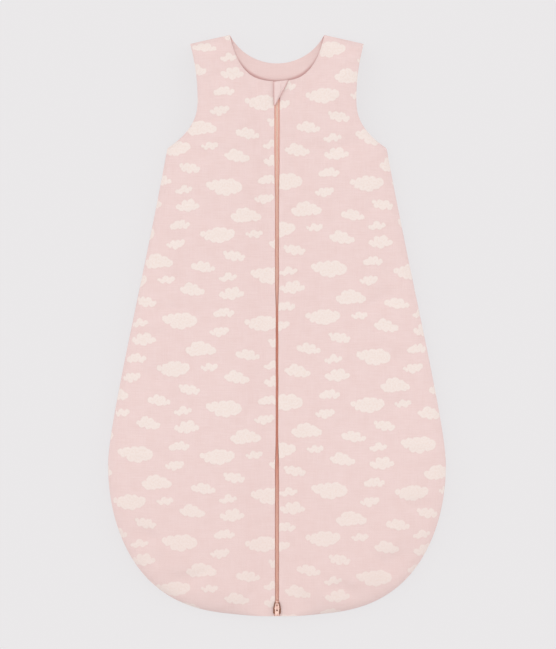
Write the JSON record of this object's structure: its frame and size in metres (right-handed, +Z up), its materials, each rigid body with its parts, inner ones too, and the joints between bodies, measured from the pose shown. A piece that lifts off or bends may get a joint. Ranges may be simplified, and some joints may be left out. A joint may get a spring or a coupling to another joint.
{
  "type": "baby sleeping bag",
  "caption": "Sleeveless padded baby sleeping bag lying flat: pear shaped, with open neck and armholes and a full-length front zip whose slider, pull tab and chin guard move.",
  "frame": {"origin": "middle of the bag's length and width, on the surface that it lies on", "axes": "+Z up out of the front, +Y towards the neck, +X to the right as seen from above with the neck at the top"},
  "size_m": [0.408, 0.7, 0.0304],
  "materials": {
    "outer_cloth": "soft pink cotton jersey with a pale cloud print",
    "lining_cloth": "plain pink cotton jersey",
    "wadding": "white polyester wadding",
    "zip_tape": "woven coral zip tape",
    "zip_coil": "coral nylon coil",
    "rose_metal": "polished rose plating"
  },
  "bodies": {
    "bag": {"back_shell": "outer_cloth", "back_wadding": "wadding", "back_lining": "lining_cloth", "front_left_shell": "outer_cloth", "front_left_wadding": "wadding", "front_left_lining": "lining_cloth", "front_right_shell": "outer_cloth", "front_right_wadding": "wadding", "front_right_lining": "lining_cloth", "left_zip_tape": "zip_tape", "right_zip_tape": "zip_tape", "left_zip_coil": "zip_coil", "right_zip_coil": "zip_coil", "left_end_stop": "rose_metal", "right_end_stop": "rose_metal", "retainer_box": "rose_metal", "insertion_pin": "rose_metal", "zip_guard": "lining_cloth"},
    "zip_slider": {"slider_body": "rose_metal", "slider_crown": "rose_metal"},
    "tab": {"pull_tab": "rose_metal"},
    "chin_flap": {"chin_guard": "outer_cloth"}
  },
  "joints": [
    {"name": "slider_travel", "type": "slide", "parent": "bag", "child": "zip_slider", "axis": [0, 1, 0], "range_m": [0, 0.59]},
    {"name": "tab_swing", "type": "hinge", "parent": "zip_slider", "child": "tab", "pos_m": [0, -0.3345, 0.0269], "axis": [-1, 0, 0], "range_deg": [0, 170]},
    {"name": "chin_guard_fold", "type": "hinge", "parent": "bag", "child": "chin_flap", "pos_m": [-0.0041, 0.28, 0.02585], "axis": [0, -1, 0], "range_deg": [0, 150]}
  ]
}
